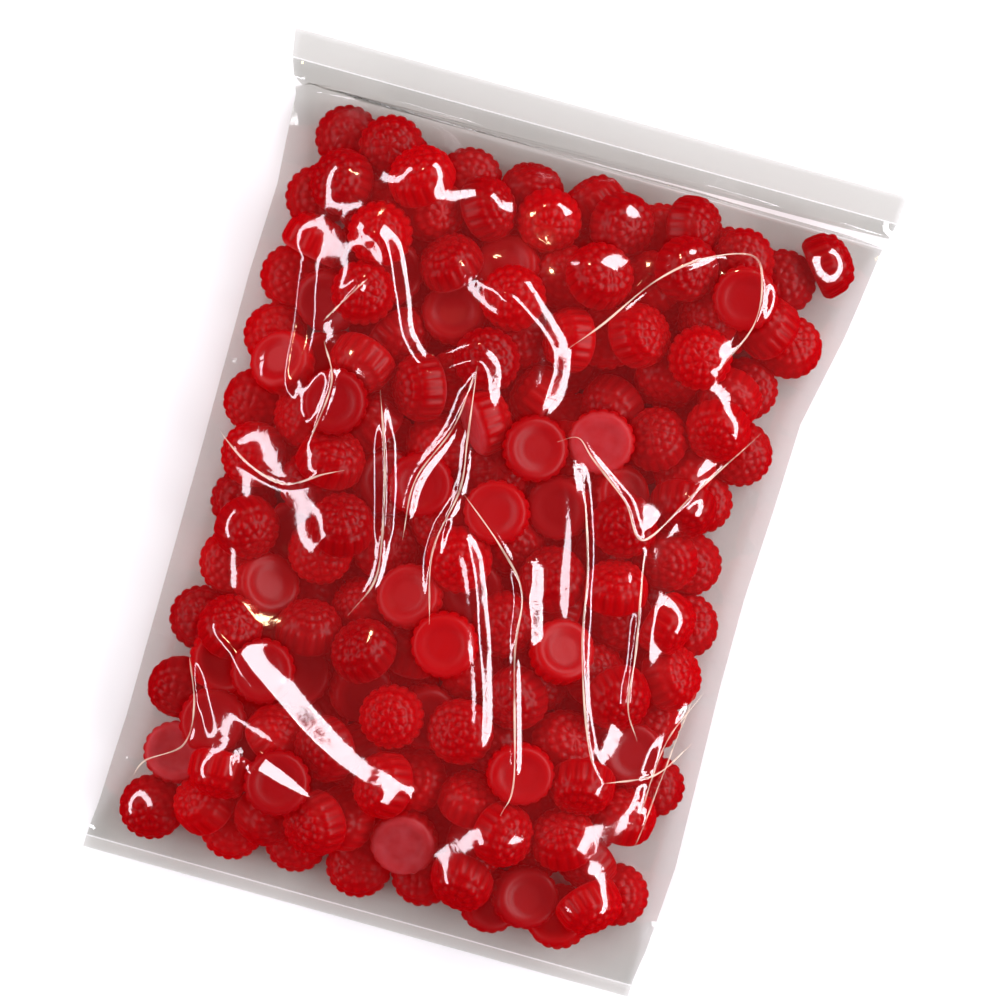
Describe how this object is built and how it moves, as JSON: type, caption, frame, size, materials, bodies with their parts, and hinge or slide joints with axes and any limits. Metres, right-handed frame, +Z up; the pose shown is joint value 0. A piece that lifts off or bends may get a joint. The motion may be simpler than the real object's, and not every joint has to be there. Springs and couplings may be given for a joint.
{
  "type": "bag of raspberry-shaped jelly sweets",
  "caption": "Clear flat plastic bag, heat-sealed across both ends, filled with red raspberry-shaped jelly sweets and lying flat on its back panel.",
  "frame": {"origin": "middle of the bag's box, on the surface that the bag lies on", "axes": "+X to the right across the bag, +Y along the bag towards the top seal, +Z up through the bag's thickness"},
  "size_m": [0.203, 0.27, 0.0438],
  "materials": {
    "clear_film": "thin clear polypropylene film, glossy, creased and drawn tight over the sweets",
    "film_seal": "two layers of the same clear film welded by heat, with a fine pressed rib pattern",
    "red_jelly": "soft deep-red fruit jelly, slightly translucent, with a thin glossy glaze"
  },
  "bodies": {
    "root": {"back_film": "clear_film", "bottom_seal": "film_seal", "front_film": "clear_film", "sweets_01": "red_jelly", "sweets_02": "red_jelly", "sweets_03": "red_jelly", "sweets_04": "red_jelly", "sweets_05": "red_jelly", "sweets_06": "red_jelly", "sweets_07": "red_jelly", "sweets_08": "red_jelly", "sweets_09": "red_jelly", "sweets_10": "red_jelly", "sweets_11": "red_jelly", "sweets_12": "red_jelly", "sweets_13": "red_jelly", "sweets_14": "red_jelly", "sweets_15": "red_jelly", "sweets_16": "red_jelly", "sweets_17": "red_jelly", "sweets_18": "red_jelly", "sweets_19": "red_jelly", "sweets_20": "red_jelly", "sweets_21": "red_jelly", "sweets_22": "red_jelly", "sweets_23": "red_jelly", "sweets_24": "red_jelly", "sweets_25": "red_jelly", "sweets_26": "red_jelly", "sweets_27": "red_jelly", "sweets_28": "red_jelly", "sweets_29": "red_jelly", "sweets_30": "red_jelly", "sweets_31": "red_jelly", "sweets_32": "red_jelly", "sweets_33": "red_jelly", "sweets_34": "red_jelly", "sweets_35": "red_jelly", "sweets_36": "red_jelly", "sweets_37": "red_jelly", "sweets_38": "red_jelly", "sweets_39": "red_jelly", "sweets_40": "red_jelly", "sweets_41": "red_jelly", "sweets_42": "red_jelly", "sweets_43": "red_jelly", "sweets_44": "red_jelly", "sweets_45": "red_jelly", "sweets_46": "red_jelly", "sweets_47": "red_jelly", "sweets_48": "red_jelly", "sweets_49": "red_jelly", "sweets_50": "red_jelly", "sweets_51": "red_jelly", "sweets_52": "red_jelly", "sweets_53": "red_jelly", "sweets_54": "red_jelly", "sweets_55": "red_jelly", "sweets_56": "red_jelly", "top_seal": "film_seal"}
  },
  "joints": []
}
